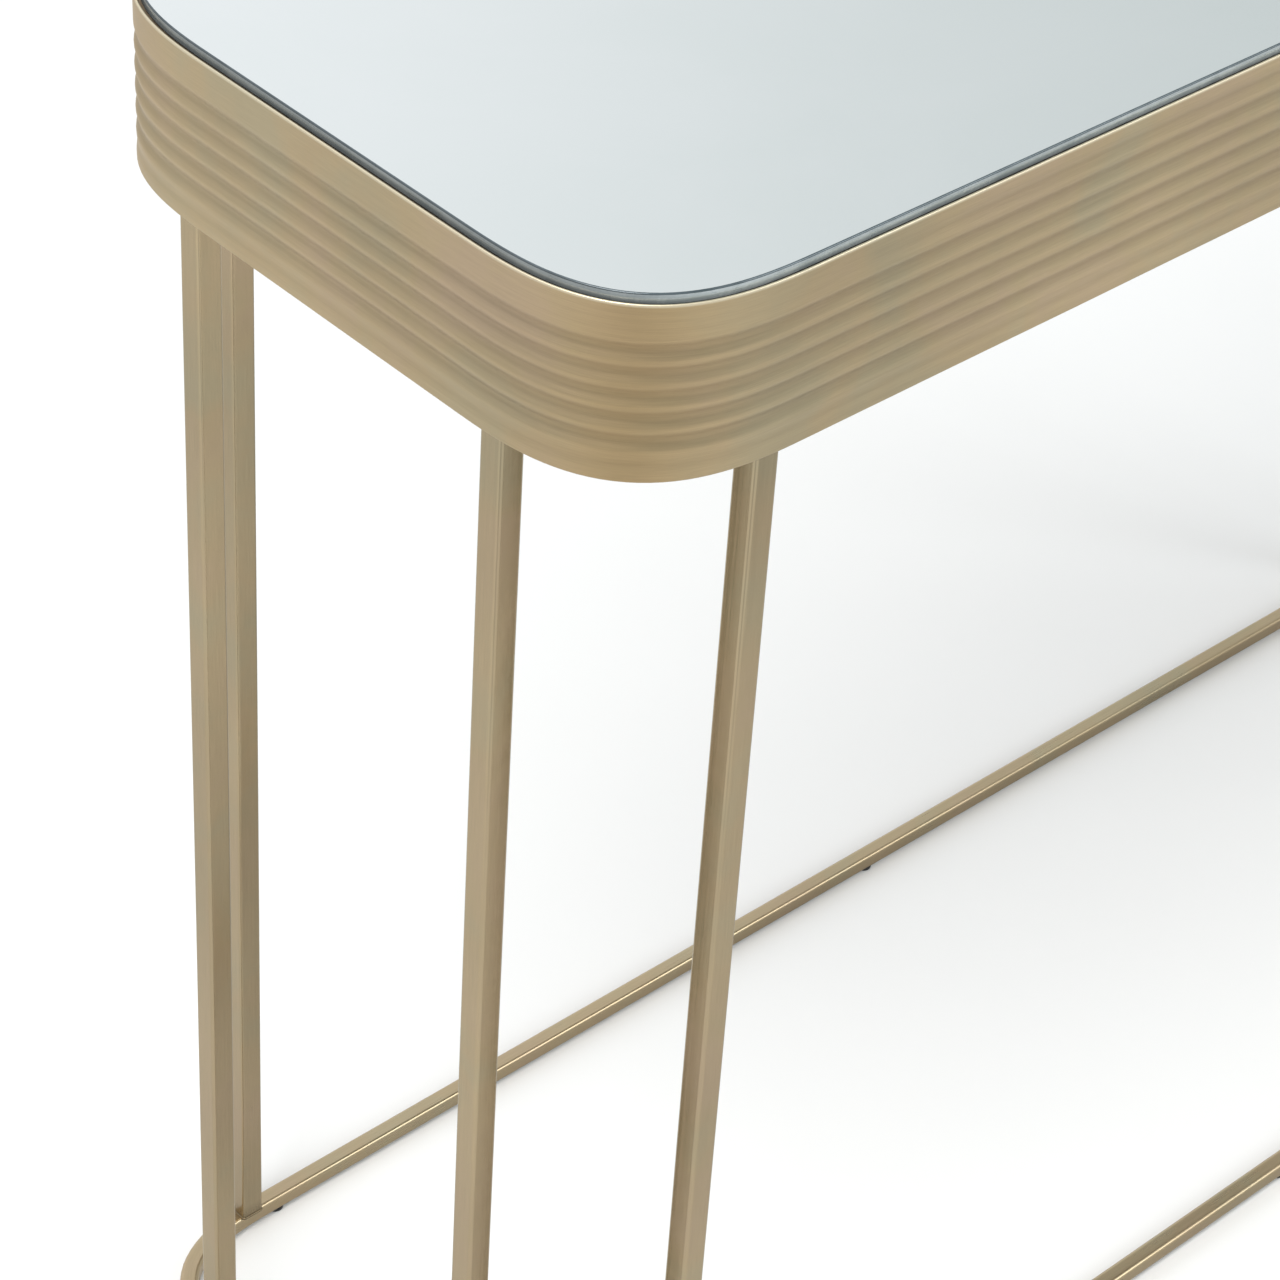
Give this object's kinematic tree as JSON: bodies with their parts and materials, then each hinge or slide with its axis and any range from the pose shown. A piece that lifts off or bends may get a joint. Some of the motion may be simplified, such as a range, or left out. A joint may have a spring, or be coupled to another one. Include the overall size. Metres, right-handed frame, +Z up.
{
  "type": "vanity table",
  "caption": "Long narrow dressing console with an inset mirror top, a ribbed brass-finished apron with rounded corners, paired square-tube legs and a floor-level base ring.",
  "frame": {"origin": "on the floor, under the middle of the table", "axes": "+X along the length towards the table's right end seen from the front, +Y towards the back, +Z up"},
  "size_m": [1.07, 0.342, 0.7665],
  "materials": {
    "mirror_glass": "polished silvered glass",
    "backing_board": "raw fibreboard",
    "mastic": "matte",
    "apron_brass": "brushed and lacquered",
    "tube_brass": "brushed and lacquered",
    "dark_steel": "plain steel",
    "glide": "matte"
  },
  "bodies": {
    "root": {"mirror_glass": "mirror_glass", "backing_board": "backing_board", "mirror_pad_1": "mastic", "mirror_pad_2": "mastic", "mirror_pad_3": "mastic", "mirror_pad_4": "mastic", "mirror_pad_5": "mastic", "mirror_pad_6": "mastic", "apron_front": "apron_brass", "base_rail_front": "tube_brass", "support_bar_front": "dark_steel", "apron_back": "apron_brass", "base_rail_back": "tube_brass", "support_bar_back": "dark_steel", "apron_left": "apron_brass", "base_rail_left": "tube_brass", "support_bar_left": "dark_steel", "apron_right": "apron_brass", "base_rail_right": "tube_brass", "support_bar_right": "dark_steel", "cross_bar_1": "dark_steel", "cross_bar_2": "dark_steel", "cross_bar_3": "dark_steel", "apron_corner_front_left": "apron_brass", "base_corner_front_left": "tube_brass", "leg_front_left_long_side": "tube_brass", "leg_front_left_end": "tube_brass", "apron_corner_front_right": "apron_brass", "base_corner_front_right": "tube_brass", "leg_front_right_long_side": "tube_brass", "leg_front_right_end": "tube_brass", "apron_corner_back_left": "apron_brass", "base_corner_back_left": "tube_brass", "leg_back_left_long_side": "tube_brass", "leg_back_left_end": "tube_brass", "apron_corner_back_right": "apron_brass", "base_corner_back_right": "tube_brass", "leg_back_right_long_side": "tube_brass", "leg_back_right_end": "tube_brass", "board_screw_1": "dark_steel", "board_screw_2": "dark_steel", "board_screw_3": "dark_steel", "board_screw_4": "dark_steel", "board_screw_5": "dark_steel", "board_screw_6": "dark_steel", "board_screw_7": "dark_steel", "board_screw_8": "dark_steel", "glide_1": "glide", "glide_2": "glide", "glide_3": "glide", "glide_4": "glide", "glide_5": "glide", "glide_6": "glide"}
  },
  "joints": []
}
